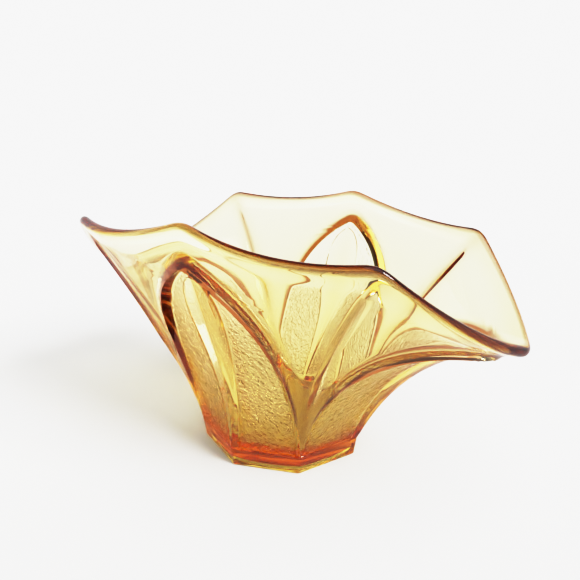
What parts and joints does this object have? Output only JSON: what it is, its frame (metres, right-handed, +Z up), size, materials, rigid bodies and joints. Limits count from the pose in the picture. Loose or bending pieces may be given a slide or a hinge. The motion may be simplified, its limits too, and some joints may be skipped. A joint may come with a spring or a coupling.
{
  "type": "candy dish",
  "caption": "Amber pressed-glass candy dish: octagonal foot, flared faceted wall with sunk pointed leaves, and a handkerchief rim that droops at both ends.",
  "frame": {"origin": "centre of the underside of the foot, on the surface that the dish stands on", "axes": "+Z up, +X through a drooping wing corner of the rim (the long way), +Y through an upright side corner"},
  "size_m": [0.21, 0.125, 0.1094],
  "materials": {
    "amber_glass": "clear amber pressed glass, fire polished, with a fine pebbled texture inside the leaves"
  },
  "bodies": {
    "root": {"glass_dish": "amber_glass"}
  },
  "joints": []
}
